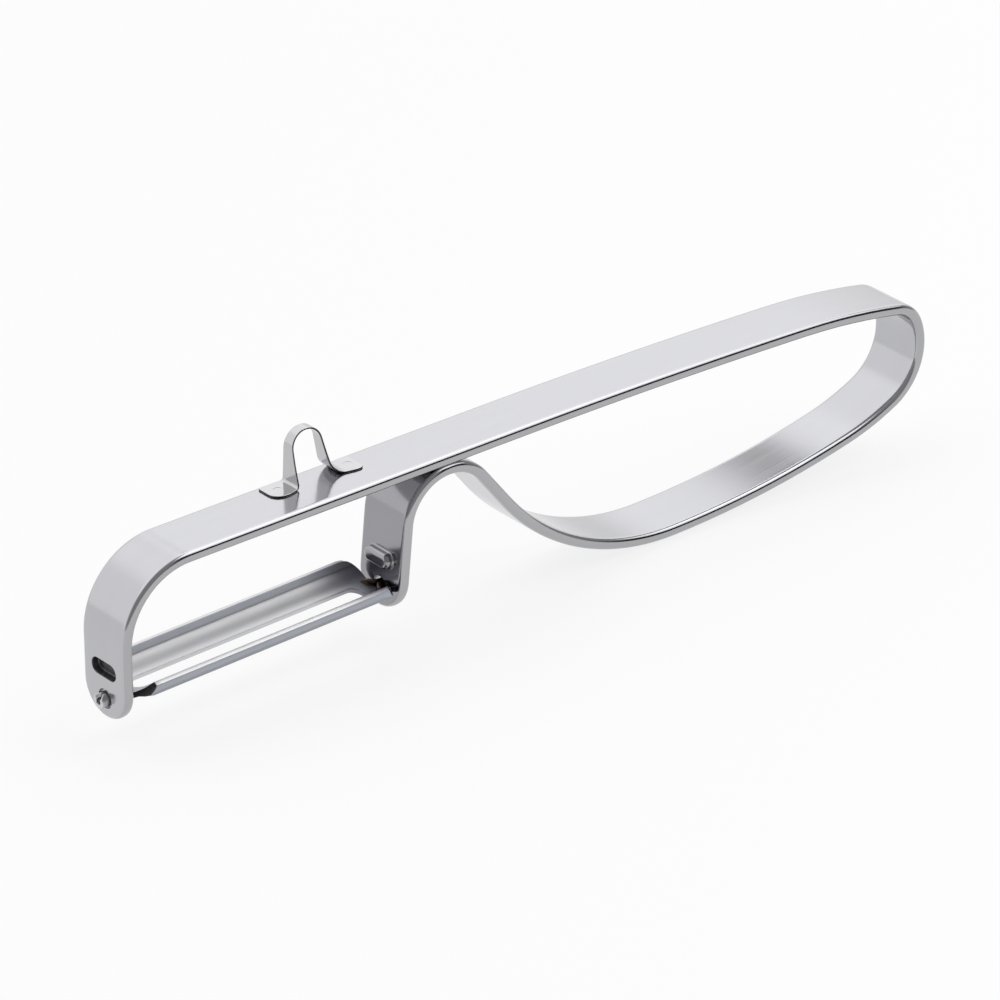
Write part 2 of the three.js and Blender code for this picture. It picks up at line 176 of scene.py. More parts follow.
def obround(centre: Vector, half_u: float, half_v: float, step: float = math.inf) -> Points:
    """Draws an obround, or a circle where both halves are equal.

    Args:
        centre: The middle point.
        half_u: Half the size along u.
        half_v: Half the size across v.
        step: The most that two points on a side lie apart.

    Returns:
        The loop's points.
    """
    radius = min(half_u, half_v)
    reach = Vector((half_u - radius, half_v - radius))
    ends = []
    for i in range(4 * LOOP_STEPS):
        angle = 2 * math.pi * (i + 0.5) / (4 * LOOP_STEPS)
        way = Vector((math.cos(angle), math.sin(angle)))
        corner = Vector((math.copysign(reach.x, way.x), math.copysign(reach.y, way.y)))
        ends.append(centre + corner + radius * way)
    points = []
    for start, end in zip(ends, ends[1:] + ends[:1]):
        points += [start, *side_points(start, end, step)]
    return points


def filleted(corners: list[Triple], step: float) -> Points:
    """Draws a polygon with round corners and points along its sides.

    Args:
        corners: Anticlockwise corners as (u, v, fillet radius).
        step: The most that two points on a side lie apart.

    Returns:
        The loop's points.
    """
    points: Points = []
    count = len(corners)
    for i, (u, v, radius) in enumerate(corners):
        here = Vector((u, v))
        before = (Vector(corners[i - 1][:2]) - here).normalized()
        after = (Vector(corners[(i + 1) % count][:2]) - here).normalized()
        half = before.angle(after) / 2
        reach = radius / math.tan(half)
        start = here + before * reach
        if points:
            points += side_points(points[-1], start, step)
        middle = here + (before + after).normalized() * radius / math.sin(half)
        first = (start - middle).normalized()
        turn = (math.pi - 2 * half) * (1 if before.cross(after) < 0 else -1)
        for k in range(LOOP_STEPS // 2 + 1):
            angle = turn * k / (LOOP_STEPS // 2)
            way = Matrix.Rotation(angle, 2) @ first
            points.append(middle + way * radius)
    return points + side_points(points[-1], points[0], step)


def side_points(start: Vector, end: Vector, step: float) -> Points:
    """Gives the points between two ends of a straight side, without the ends."""
    count = math.ceil((end - start).length / step)
    return [start.lerp(end, i / count) for i in range(1, count)]


def grown(loop: Points, distance: float) -> Points:
    """Moves a loop's points outwards.

    Args:
        loop: Anticlockwise points.
        distance: How far they move; a negative distance moves them in.

    Returns:
        The moved points.
    """
    moved = []
    for i, point in enumerate(loop):
        along = (loop[(i + 1) % len(loop)] - loop[i - 1]).normalized()
        moved.append(point + distance * Vector((along.y, -along.x)))
    return moved


def depth_inside(point: Vector, loop: Points) -> float:
    """Gives how deep a point lies inside a loop; outside it, the depth is negative.

    Args:
        point: The point.
        loop: The loop's points.

    Returns:
        The distance to the loop, with its sign.
    """
    nearest = math.inf
    inside = False
    for start, end in zip(loop, loop[1:] + loop[:1]):
        side = end - start
        share = min(1.0, max(0.0, (point - start).dot(side) / side.length_squared))
        nearest = min(nearest, (start + share * side - point).length)
        if (start.y > point.y) != (end.y > point.y):
            inside ^= point.x < start.x + side.x * (point.y - start.y) / side.y
    return nearest if inside else -nearest


def rolled_rows(radius: float, half: float) -> list[Pair]:
    """Gives the rows of a rolled edge, from the upper face to the lower one.

    Args:
        radius: The edge's radius.
        half: Half the sheet's thickness.

    Returns:
        Rows as (inset from the outline, height).
    """
    upper = [(radius + FLAT_RIM, half)]
    upper += [(radius * inset, half - radius * drop) for inset, drop in QUARTER]
    return upper + [(inset, -height) for inset, height in reversed(upper)]


@dataclass
class Press:
    """A place pressed into a blank: a pocket above and, where it goes through, a lug below."""

    outline: Points
    depth: float
    mouth: float
    crown: float
    through: bool = True

    def rows(self, half: float, sign: int) -> list[Pair]:
        """Gives the rows from the face to the pressed floor.

        Args:
            half: Half the sheet's thickness.
            sign: 1 for the pocket's side and -1 for the lug's.

        Returns:
            Rows as (growth of the outline, height).
        """
        rows = [(self.mouth + FLAT_RIM, sign * half)]
        top, bottom = sign * half, sign * half - self.depth
        crown = self.mouth if sign > 0 else self.crown
        rows += [(self.mouth * inset, top - self.mouth * drop) for inset, drop in QUARTER]
        rows += [(-crown * drop, bottom + crown * inset) for inset, drop in QUARTER]
        return rows + [(-crown - FLAT_RIM, bottom)]


@dataclass
class Blank:
    """A flat sheet with rolled edges, holes and pressed places, as a closed mesh."""

    outline: Points
    thickness: float
    edge: float
    holes: list[Points] = field(default_factory=list)
    hole_edge: float = 0.2
    presses: list[Press] = field(default_factory=list)
    grid: Points = field(default_factory=list)

    def __post_init__(self) -> None:
        """Starts with no points and no faces."""
        self.points: Points = []
        self.faces: list[list[int]] = []
        self.pockets: list[int] = []
        self.lugs: list[int] = []

    def ring(self, loop: Points, height: float) -> list[int]:
        """Adds a loop of points at a height and gives their numbers."""
        self.points += [Vector((p.x, p.y, height)) for p in loop]
        return list(range(len(self.points) - len(loop), len(self.points)))

    def wall(self, loop: Points, rows: list[Pair], sign: int) -> tuple[list[int], list[int]]:
        """Adds the faces between rows that follow a loop.

        Args:
            loop: The outline that the rows follow.
            rows: (offset, height) for each row.
            sign: 1 where an offset moves outwards, -1 where it moves in.

        Returns:
            The first and the last ring.
        """
        rings = [self.ring(grown(loop, sign * offset), height) for offset, height in rows]
        count = len(loop)
        for upper, lower in zip(rings, rings[1:]):
            for i in range(count):
                k = (i + 1) % count
                self.faces.append([upper[i], upper[k], lower[k], lower[i]])
        return rings[0], rings[-1]

    def fill(self, rings: list[list[int]], grid: list[int]) -> None:
        """Fills the flat between rings, with the holes left open.

        Args:
            rings: The outer ring first, then those of the holes.
            grid: Points inside the flat.
        """
        numbers = [number for ring in rings for number in ring] + grid
        places = iter(range(len(numbers)))
        loops = [list(islice(places, len(ring))) for ring in rings]
        flat = [self.points[number].to_2d() for number in numbers]
        made = delaunay_2d_cdt(flat, [], loops, HOLES_STAY_OPEN, SAME_POINT)
        for face in made[2]:
            self.faces.append([numbers[made[3][corner][0]] for corner in face])

    def middle(self, face: bpy.types.MeshPolygon) -> Vector:
        """Gives the middle of a face, on the flat blank."""
        return sum((self.points[k] for k in face.vertices), Vector((0, 0, 0))) / len(face.vertices)

    def mesh(self, name: str, form: Callable[[Vector], Vector] | None = None) -> bpy.types.Mesh:
        """Builds the mesh, with the blank's own place kept as a UV map.

        Args:
            name: The mesh's name.
            form: Takes a point of the flat blank to its place, in millimetres; None leaves it flat.

        Returns:
            The mesh, in metres.
        """
        half = self.thickness / 2
        upper, lower = [], []
        for ring, other in [
            self.wall(self.outline, rolled_rows(self.edge, half), -1),
            *(self.wall(hole, rolled_rows(self.hole_edge, half), 1) for hole in self.holes),
        ]:
            upper.append(ring)
            lower.append(other)
        for press in self.presses:
            for sign, flats in ((1, upper), (-1, lower)):
                if sign == 1 or press.through:
                    first = len(self.faces) + 3 * len(press.outline)
                    mouth, floor = self.wall(press.outline, press.rows(half, sign), 1)
                    flats.append(mouth)
                    self.fill([floor], [])
                    pressed = self.pockets if sign == 1 else self.lugs
                    pressed += range(first, len(self.faces))
        self.fill(upper, self.ring(self.grid, half))
        self.fill(lower, self.ring(self.grid, -half))
        places = [form(point) if form else point for point in self.points]
        mesh = bpy.data.meshes.new(name)
        mesh.from_pydata([place * MM for place in places], [], self.faces)
        layer = mesh.uv_layers.new(name=UV_NAME)
        for loop in mesh.loops:
            u, v, w = self.points[loop.vertex_index] * MM
            layer.data[loop.index].uv = (u, v + UV_LEAN * w)
        made = bmesh.new()
        made.from_mesh(mesh)
        bmesh.ops.recalc_face_normals(made, faces=made.faces)
        made.to_mesh(mesh)
        made.free()
        mesh.shade_smooth()
        return mesh


# Bending along a path


class Pen:
    """Draws a path of straight runs and tangent arcs in the XZ plane."""

    def __init__(self, x: float, z: float, heading: float) -> None:
        """Sets the pen down.

        Args:
            x: Start along X.
            z: Start along Z.
            heading: Direction in degrees, from +X towards +Z.
        """
        self.at = Vector((x, z))
        self.heading = math.radians(heading)
        self.stations = [self.at.copy()]

    def line(self, length: float) -> "Pen":
        """Draws a straight run.

        Args:
            length: The run's length.

        Returns:
            The pen.
        """
        start = self.at.copy()
        way = Vector((math.cos(self.heading), math.sin(self.heading)))
        count = max(1, math.ceil(length / RUN_STEP))
        self.stations += [start + way * length * i / count for i in range(1, count + 1)]
        self.at = self.stations[-1].copy()
        return self

    def arc(self, radius: float, turn: float) -> "Pen":
        """Draws an arc.

        Args:
            radius: The arc's radius.
            turn: How far it turns, in degrees; a positive turn is to the left.

        Returns:
            The pen.
        """
        side = math.copysign(1, turn)
        centre = self.beside(side * radius)
        start = self.heading
        arc_length = radius * math.radians(abs(turn))
        count = max(2, math.ceil(abs(turn) / BEND_STEP), math.ceil(arc_length / (2 * RUN_STEP)))
        for i in range(1, count + 1):
            self.heading = start + math.radians(turn) * i / count
            out = Vector((math.sin(self.heading), -math.cos(self.heading)))
            self.at = centre + side * radius * out
            self.stations.append(self.at.copy())
        return self

    def arc_of_length(self, length: float, turn: float) -> "Pen":
        """Draws an arc given by its length along the path."""
        return self.arc(length / math.radians(abs(turn)), turn)

    def arc_onto(self, centre: Vector, radius: float) -> "Pen":
        """Runs in one arc onto a circle that lies on the pen's right.

        Args:
            centre: The circle's middle.
            radius: The circle's radius.

        Returns:
            The pen.
        """
        right = Vector((math.sin(self.heading), -math.cos(self.heading)))
        apart = self.at - centre
        reach = (radius**2 - apart.length_squared) / (2 * (apart.dot(right) + radius))
        inward = (self.beside(-reach) - centre).normalized() * math.copysign(1, reach)
        return self.arc(abs(reach), self.turn_to(math.atan2(inward.x, -inward.y)))

    def turn_to(self, heading: float) -> float:
        """Gives the shorter turn to a heading, in degrees."""
        return (math.degrees(heading - self.heading) + 180) % 360 - 180

    def beside(self, distance: float) -> Vector:
        """Gives the point at a distance to the pen's left."""
        return self.at + distance * Vector((-math.sin(self.heading), math.cos(self.heading)))

    def lengths(self) -> list[float]:
        """Gives how far along the path each station lies."""
        steps = ((after - before).length for before, after in zip(self.stations, self.stations[1:]))
        return list(accumulate(steps, initial=0.0))


def bending_tree() -> bpy.types.NodeTree:
    """Makes the Geometry Nodes tree that bends a flat blank along a path.

    Returns:
        A tree whose inputs are the blank, the path's object and the finish.
    """
    tree = bpy.data.node_groups.new("bend_blank_along_path", "GeometryNodeTree")
    for name, direction, kind in (
        ("Blank", "INPUT", "NodeSocketGeometry"),
        ("Path", "INPUT", "NodeSocketObject"),
        ("Finish", "INPUT", "NodeSocketMaterial"),
        ("Bent", "OUTPUT", "NodeSocketGeometry"),
    ):
        tree.interface.new_socket(name, in_out=direction, socket_type=kind)
    add = partial(add_node, tree)
    given = add("NodeGroupInput")
    path = add("GeometryNodeObjectInfo", inputs={"Object": given.outputs["Path"]})
    position = add("GeometryNodeInputPosition")
    flat = add("ShaderNodeSeparateXYZ", inputs={0: position.outputs[0]})
    place = add(
        "GeometryNodeSampleCurve",
        {"mode": "LENGTH", "use_all_curves": True},
        {"Curves": path.outputs["Geometry"], "Length": flat.outputs["X"]},
    )
    through = add(
        "ShaderNodeVectorMath",
        {"operation": "CROSS_PRODUCT"},
        {0: place.outputs["Tangent"], 1: (0.0, 1.0, 0.0)},
    )
    lifted = add(
        "ShaderNodeVectorMath",
        {"operation": "SCALE"},
        {0: through.outputs[0], "Scale": flat.outputs["Z"]},
    )
    aside = add("ShaderNodeCombineXYZ", inputs={"Y": flat.outputs["Y"]})
    on_path = add("ShaderNodeVectorMath", inputs={0: place.outputs["Position"], 1: aside.outputs[0]})
    bent = add("ShaderNodeVectorMath", inputs={0: on_path.outputs[0], 1: lifted.outputs[0]})
    moved = add("GeometryNodeSetPosition", inputs={0: given.outputs["Blank"], "Position": bent.outputs[0]})
    whole = add("GeometryNodeRealizeInstances", inputs={0: moved.outputs[0]})
    finish = given.outputs["Finish"]
    dressed = add("GeometryNodeSetMaterial", inputs={0: whole.outputs[0], "Material": finish})
    add("NodeGroupOutput", inputs={0: dressed.outputs[0]})
    return tree


def link(name: str, data: bpy.types.ID) -> bpy.types.Object:
    """Puts data into the scene as an object at the origin.

    Args:
        name: The object's name.
        data: Its mesh, curve, camera or lamp.

    Returns:
        The object.
    """
    made = bpy.data.objects.new(name, data)
    bpy.context.scene.collection.objects.link(made)
    return made


def bend(
    name: str,
    blank: bpy.types.Mesh,
    stations: Points,
    finish: bpy.types.Material,
    tree: bpy.types.NodeTree,
) -> bpy.types.Object:
    """Bends a blank along a path and keeps the result as a plain mesh.

    Args:
        name: The piece's name.
        blank: The flat mesh.
        stations: The path's points in the XZ plane, in the part's own frame.
        finish: The material.
        tree: The bending tree.

    Returns:
        The finished piece.
    """
    line = bpy.data.curves.new(name + "_path", "CURVE")
    line.dimensions = "3D"
    spline = line.splines.new("POLY")
    spline.points.add(len(stations) - 1)
    for point, station in zip(spline.points, stations):
        point.co = (station.x * MM, 0, station.y * MM, 1)
    path = link(name + "_path", line)
    flat = link(name + "_flat", blank)
    modifier = flat.modifiers.new("bend", "NODES")
    modifier.node_group = tree
    sockets = {item.name: item.identifier for item in tree.interface.items_tree}
    modifier[sockets["Path"]] = path
    modifier[sockets["Finish"]] = finish
    evaluated = flat.evaluated_get(bpy.context.evaluated_depsgraph_get())
    mesh = bpy.data.meshes.new_from_object(evaluated)
    mesh.name = name
    flat.modifiers.remove(modifier)
    for helper in (flat, path):
        bpy.data.objects.remove(helper)
    mesh.shade_smooth()
    return link(name, mesh)


# Finishes


@dataclass(frozen=True)
class BrushedSteel:
    """Rolled stainless steel, brushed one way: fine streaks, and highlights drawn out across them.

    The real grit leaves lines about 0.1 mm apart, which is finer than the render shows, so they are drawn
    coarser. Streaks and clouds are sizes along u and across v.
    """

    name: str
    colour: str
    shade: str
    roughness: Pair
    streaks: Pair
    clouds: Pair
    scratch_depth: float = 0.0002
    anisotropy: float = 0.0
    metallic: float = 1.0
    # A darker colour towards one end of the blank: painted shade, with heat tint on the blade
    end_shade_and_tint: str = ""
    end_along: str = "Y"
    end_from: Pair = (0, 1)

    def material(self) -> bpy.types.Material:
        """Makes the material on the blank's own UV map.

        Returns:
            The material.
        """
        made = bpy.data.materials.new(self.name)
        made.use_nodes = True
        tree = made.node_tree
        tree.nodes.clear()
        add = partial(add_node, tree)
        place = add("ShaderNodeUVMap", {"uv_map": UV_NAME}).outputs[0]
        streaks, clouds = (
            add("ShaderNodeMapping", inputs={"Vector": place, "Scale": self.scale(sizes)}).outputs[0]
            for sizes in (self.streaks, self.clouds)
        )
        fine = add(
            "ShaderNodeTexNoise",
            inputs={"Vector": streaks, "Scale": 1.0, "Detail": 3.0, "Roughness": 0.6},
        ).outputs[0]
        soft = add("ShaderNodeTexNoise", inputs={"Vector": clouds, "Scale": 1.0, "Detail": 2.0})
        shades = {0: soft.outputs[0], 6: linear(self.shade), 7: linear(self.colour)}
        tone = add("ShaderNodeMix", COLOURS, shades).outputs[2]
        if self.end_shade_and_tint:
            tone = self.tinted(tree, place, tone)
        ends = dict(enumerate(NOISE_SPAN + self.roughness, 1))
        rough = add("ShaderNodeMapRange", inputs={0: fine, **ends})
        scratch = add(
            "ShaderNodeBump",
            inputs={"Height": fine, "Strength": 1.0, "Distance": self.scratch_depth * MM},
        )
        grain = add("ShaderNodeTangent", {"direction_type": "UV_MAP", "uv_map": UV_NAME})
        shader = add(
            "ShaderNodeBsdfPrincipled",
            inputs={
                "Base Color": tone,
                "Metallic": self.metallic,
                "Roughness": rough.outputs[0],
                "Anisotropic": self.anisotropy,
                "Anisotropic Rotation": ACROSS_STREAKS,
                "Tangent": grain.outputs[0],
                "Normal": scratch.outputs[0],
            },
        )
        add("ShaderNodeOutputMaterial", inputs={"Surface": shader.outputs[0]})
        return made

    def tinted(
        self,
        tree: bpy.types.NodeTree,
        place: bpy.types.NodeSocket,
        tone: bpy.types.NodeSocket,
    ) -> bpy.types.NodeSocket:
        """Lets the colour run into a darker end colour towards the end of the blank: painted shade,
        together with heat tint on the blade.

        Args:
            tree: The material's node tree.
            place: The blank's place.
            tone: The plain colour.

        Returns:
            The tinted colour.
        """
        along = add_node(tree, "ShaderNodeSeparateXYZ", inputs={0: place}).outputs[self.end_along]
        start, end = (edge * MM for edge in self.end_from)
        share = add_node(tree, "ShaderNodeMapRange", SMOOTH, {0: along, 1: start, 2: end})
        tints = {0: share.outputs[0], 6: tone, 7: linear(self.end_shade_and_tint)}
        return add_node(tree, "ShaderNodeMix", COLOURS, tints).outputs[2]

    @staticmethod
    def scale(sizes: Pair) -> Triple:
        """Gives the mapping's scale for marks of these sizes."""
        return (1 / (sizes[0] * MM), 1 / (sizes[1] * MM), 1.0)


# Rolled strip, brushed along its length: mid grey with fine streaks, and highlights that spread across it
STRIP_FINISH = BrushedSteel(
    name="stainless_strip_brushed",
    colour="BABABE",
    shade="B6B6BA",
    roughness=(0.13, 0.18),
    streaks=(20, 0.3),
    clouds=(60, 3.6),
    scratch_depth=0.0005,
    anisotropy=0.4,
)
# Tumbled round after the shears and never brushed, so the edges hold a clear dark line; their darker
# colour is painted shade
EDGE_FINISH = BrushedSteel(
    name="stainless_strip_edge_painted_shade",
    colour="B0B0B3",
    shade="A8A8AB",
    roughness=(0.13, 0.17),
    streaks=(3, 0.3),
    clouds=(24, 2),
    scratch_depth=0.0004,
)
# Dull from the press and never polished; its dark mottled colour is painted shade in the recess
POCKET_FINISH = BrushedSteel(
    name="pressed_pocket_dull_with_painted_shade",
    colour="7C7C80",
    shade="3E3E42",
    roughness=(0.45, 0.6),
    streaks=(0.5, 0.4),
    clouds=(0.9, 0.9),
    scratch_depth=0.02,
)
# Fine satin from the tumbler, so the trough shades off softly; its rear end runs to blue-black, partly
# heat tint from hardening and partly painted shade for the dark rear arm that it reflects
BLADE_FINISH = BrushedSteel(
    name="hardened_blade_steel_satin",
    colour="D0D0D2",
    shade="CACACC",
    roughness=(0.38, 0.42),
    streaks=(0.35, 9),
    clouds=(4, 20),
    end_shade_and_tint="76767E",
    end_from=(42, 55),
)
# Painted reflection: pale blue-grey and partly metallic where the back rail is coined flat, so it keeps
# one tone
RIM_FINISH = BrushedSteel(
    name="blade_rim_painted_reflection",
    colour="E2E6EE",
    shade="DADEE6",
    roughness=(0.5, 0.56),
    streaks=(0.3, 4),
    clouds=(3, 14),
    metallic=0.35,
    end_shade_and_tint="7A7A84",
    end_from=(42, 55),
)
# Ground after the tumbler, with crisp borders; its bluer, darker grey than the trough's is painted shade
GROUND_FINISH = BrushedSteel(
    name="ground_blade_facets",
    colour="A5A9B1",
    shade="9CA0A8",
    roughness=(0.3, 0.36),
    streaks=(0.2, 3),
    clouds=(2, 12),
)
# Browned by the heat of the hardening line, as at the rear neck
TINT_FINISH = BrushedSteel(
    name="heat_tinted_steel",
    colour="6A584C",
    shade="2A2523",
    roughness=(0.3, 0.4),
    streaks=(0.6, 0.6),
    clouds=(1.6, 1.6),
    scratch_depth=0.002,
)
# Thin strap, polished bright, so it mirrors its surroundings more sharply than the strip
LOOP_FINISH = BrushedSteel(
    name="stainless_strap_polished",
    colour="C0C0C2",
    shade="B8B8BA",
    roughness=(0.1, 0.15),
    streaks=(3, 0.5),
    clouds=(4, 4),
    scratch_depth=0.0004,
    anisotropy=0.2,
)
# Painted dark reflection framing the strap's edges with a dark line, and painted shade on the blade's
# front cut
PAINTED_DARK_EDGE_FINISH = BrushedSteel(
    name="steel_edge_painted_dark",
    colour="4C4C4E",
    shade="2C2C2E",
    roughness=(0.3, 0.4),
    streaks=(0.3, 0.3),
    clouds=(2, 2),
    scratch_depth=0.002,
)


# The pieces


def design_origin() -> Vector:
    """Gives where the front arm's outer face meets the level of the top face, in millimetres."""
    low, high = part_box("frame_strip")
    return Vector((low.x, high.z)) / MM


def settle(piece: bpy.types.Object, node: str, body: Body) -> bpy.types.Object:
    """Lets a piece stand for its node and ride its body.

    Args:
        piece: The finished piece.
        node: The CAD node that it stands for.
        body: The body that it moves with.

    Returns:
        The piece.
    """
    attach(piece, body.value)
    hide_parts(node)
    LOG.info("%s: %d faces", piece.name, len(piece.data.polygons))
    return piece


@dataclass
class FrameStrip:
    """The bent strip: front arm, top run, tail turn, hand grip, crest and rear arm."""

    width: float = 12
    thickness: float = 2.2
    edge: float = 0.9
    front_bend: float = 13.7
    top_length: float = 73.7
    bow: Pair = (65, 2.4)
    shoulder: Pair = (22.4, 8.9)
    tail_upper: Pair = (6.5, 55.9)
    tail_lower_radius: float = 11.5
    tail_slope: float = 25.8
    heel: Pair = (49.5, 13.3)
    belly_radius: float = 48
    neck: Pair = (8.9, 52.2)
    crest_radius: float = 9.3
    weld_sink: float = 0.2
    rear_lean: float = 6
    arm_gap: float = 57.2
    pin_depth: float = 25.6
    rear_pin_rise: float = 1.2
    pin_to_end: float = 3.7
    bore: float = 3.6
    lug_size: Pair = (6.7, 2.9)
    lug_press: float = 1.5
    lug_above_pin: float = 5.7
    lug_mouth: float = 0.3
    lug_crown: float = 0.85
    # Where the painted shade on the rear arm's inner face starts and ends, back from the strip's end
    painted_shade_before_end: Pair = (46, 26)
    face_share: float = 0.125

    def path(self) -> Pen:
        """Draws the strip's middle line from the front arm's end to the rear arm's.

        Returns:
            The pen at the rear arm's end.
        """
        half = self.thickness / 2
        origin = design_origin()
        arm = self.pin_depth + self.pin_to_end
        turned = self.tail_slope + self.bow[1] + self.shoulder[1] + self.tail_upper[1]
        pen = Pen(origin.x + half, origin.y - arm, 90)
        pen.line(arm - half - self.front_bend).arc(self.front_bend, -90).line(self.top_length)
        pen.arc_of_length(self.bow[0], -self.bow[1]).arc_of_length(self.shoulder[0], -self.shoulder[1])
        pen.arc(self.tail_upper[0], -self.tail_upper[1]).arc(self.tail_lower_radius, turned - 180)
        pen.arc(self.heel[0], -self.heel[1])
        lean = math.radians(self.rear_lean)
        to_rear = self.thickness + self.arm_gap + half / math.cos(lean)
        pin = origin + Vector((to_rear, self.rear_pin_rise - self.pin_depth))
        crest_height = origin.y + self.weld_sink - self.thickness - half - self.crest_radius
        rise = (crest_height - pin.y + self.crest_radius * math.sin(lean)) / math.cos(lean)
        crest = Vector((pin.x + rise * math.sin(lean) + self.crest_radius * math.cos(lean), crest_height))
        slope = math.radians(180 - self.neck[1])
        along = Vector((math.cos(slope), math.sin(slope)))
        right = Vector((along.y, -along.x))
        belly = crest + right * (self.crest_radius + self.belly_radius) - along * self.neck[0]
        pen.arc_onto(belly, self.belly_radius)
        pen.arc(self.belly_radius, pen.turn_to(slope)).line(self.neck[0])
        pen.arc(self.crest_radius, pen.turn_to(math.radians(270) - lean))
        return pen.line(rise + self.pin_to_end)

    def blank(self, lengths: list[float]) -> Blank:
        """Lays out the flat blank: half-round ends, pivot holes and pressed lugs.

        Args:
            lengths: How far along the path its stations lie.

        Returns:
            The blank.
        """
        radius = self.width / 2
        total = lengths[-1]
        runs = [u for u in lengths if radius + FLAT_RIM < u < total - radius - FLAT_RIM]
        outline = [Vector((u, -radius)) for u in runs]
        outline += self.half_round(total - radius, -90)
        outline += [Vector((u, radius)) for u in reversed(runs)]
        outline += self.half_round(radius, 90)
        holes, presses = [], []
        for end, inward in ((0.0, 1), (total, -1)):
            hole = Vector((end + inward * self.pin_to_end, 0))
            lug = hole + Vector((inward * self.lug_above_pin, 0))
            holes.append(obround(hole, self.bore / 2, self.bore / 2))
            lug_outline = obround(lug, self.lug_size[1] / 2, self.lug_size[0] / 2)
            presses.append(Press(lug_outline, self.lug_press, self.lug_mouth, self.lug_crown))
        return Blank(outline, self.thickness, self.edge, holes, presses=presses)

    def half_round(self, middle: float, start: float) -> Points:
        """Draws a half-round end about a point on the middle line, from a start angle in degrees."""
        angles = [math.radians(start + 45 * i / LOOP_STEPS) for i in range(4 * LOOP_STEPS + 1)]
        return [Vector((middle, 0)) + self.width / 2 * Vector((math.cos(a), math.sin(a))) for a in angles]

    def inner_finish(self, total: float) -> BrushedSteel:
        """Gives the inner face's finish: as outside, but with painted shade that darkens it down the rear
        arm.
        """
        return replace(
            STRIP_FINISH,
            name="stainless_strip_inner_face",
            end_shade_and_tint="98989C",
            end_along="X",
            end_from=tuple(total - before for before in self.painted_shade_before_end),
        )

    def build(self, tree: bpy.types.NodeTree) -> bpy.types.Object:
        """Makes the strip and settles it on the frame body.

        Args:
            tree: The bending tree.

        Returns:
            The strip.
        """
        pen = self.path()
        blank = self.blank(pen.lengths())
        piece = bend("bent_strip", blank.mesh("strip_blank"), pen.stations, STRIP_FINISH.material(), tree)
        # The inner face's finish carries painted shade down the rear arm
        for finish in (self.inner_finish(pen.lengths()[-1]), EDGE_FINISH, POCKET_FINISH):
            piece.data.materials.append(finish.material())
        # Faces on the rolled edges take the edge finish, whose darker colour is painted shade
        flat = self.thickness / 2 - self.edge * self.face_share
        for face in piece.data.polygons:
            depth = blank.middle(face).z
            face.material_index = 1 if depth < -flat else 0 if depth > flat else 2
        for face in blank.lugs:
            piece.data.polygons[face].material_index = 1
        # Pocket faces take the dark finish: painted shade in the recess
        for face in blank.pockets:
            piece.data.polygons[face].material_index = 3
        return settle(piece, "frame_strip", Body.FRAME)


